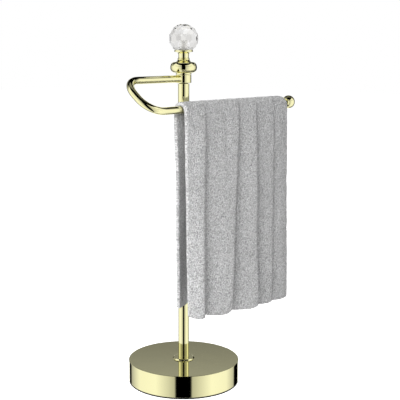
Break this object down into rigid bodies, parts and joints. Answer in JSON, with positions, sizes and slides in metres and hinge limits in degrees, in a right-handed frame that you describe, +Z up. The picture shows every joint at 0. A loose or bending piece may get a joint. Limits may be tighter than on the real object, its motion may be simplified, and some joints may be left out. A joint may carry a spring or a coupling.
{
  "type": "countertop towel stand",
  "caption": "Round weighted base, upright post with a swivelling bent rod that carries a draped towel, and a turned finial with a faceted crystal ball.",
  "frame": {"origin": "centre of the base's underside, on the surface that the stand rests on", "axes": "+Z up along the post, +X along the towel bar towards its knob, -Y towards the front"},
  "size_m": [0.2525, 0.127, 0.4074],
  "materials": {
    "polished_brass": "mirror-polished pale gold",
    "cast_iron": "as cast",
    "pad_rubber": "matt",
    "fastener_steel": "zinc plated",
    "raw_brass": "machined",
    "white_plastic": "moulded acetal",
    "crystal": "clear, cut and polished",
    "grey_terry": "cotton terry pile"
  },
  "bodies": {
    "stand": {"base_shell": "polished_brass", "base_weight": "cast_iron", "foot_pad": "pad_rubber", "base_bolt": "fastener_steel", "base_washer": "fastener_steel", "base_lock_washer": "fastener_steel", "foot_ring": "polished_brass", "post_tube": "polished_brass", "lower_insert": "raw_brass", "upper_insert": "raw_brass", "swivel_stud": "fastener_steel", "lower_friction_washer": "white_plastic", "upper_friction_washer": "white_plastic", "disc_spring": "fastener_steel", "finial_bulb": "polished_brass", "finial_neck": "polished_brass", "crystal_cup": "polished_brass", "ball_insert": "raw_brass", "crystal_ball": "crystal"},
    "arm": {"arm_collar": "polished_brass", "collar_bush": "white_plastic", "towel_arm": "polished_brass", "end_knob": "polished_brass"},
    "towel": {"towel": "grey_terry"}
  },
  "joints": [
    {"name": "arm_swivel", "type": "hinge", "parent": "stand", "child": "arm", "pos_m": [0, 0, 0.34815], "axis": [0, 0, 1], "continuous": true},
    {"name": "towel_lift", "type": "slide", "parent": "arm", "child": "towel", "axis": [0, 0, 1], "range_m": [0, 0.25]}
  ]
}
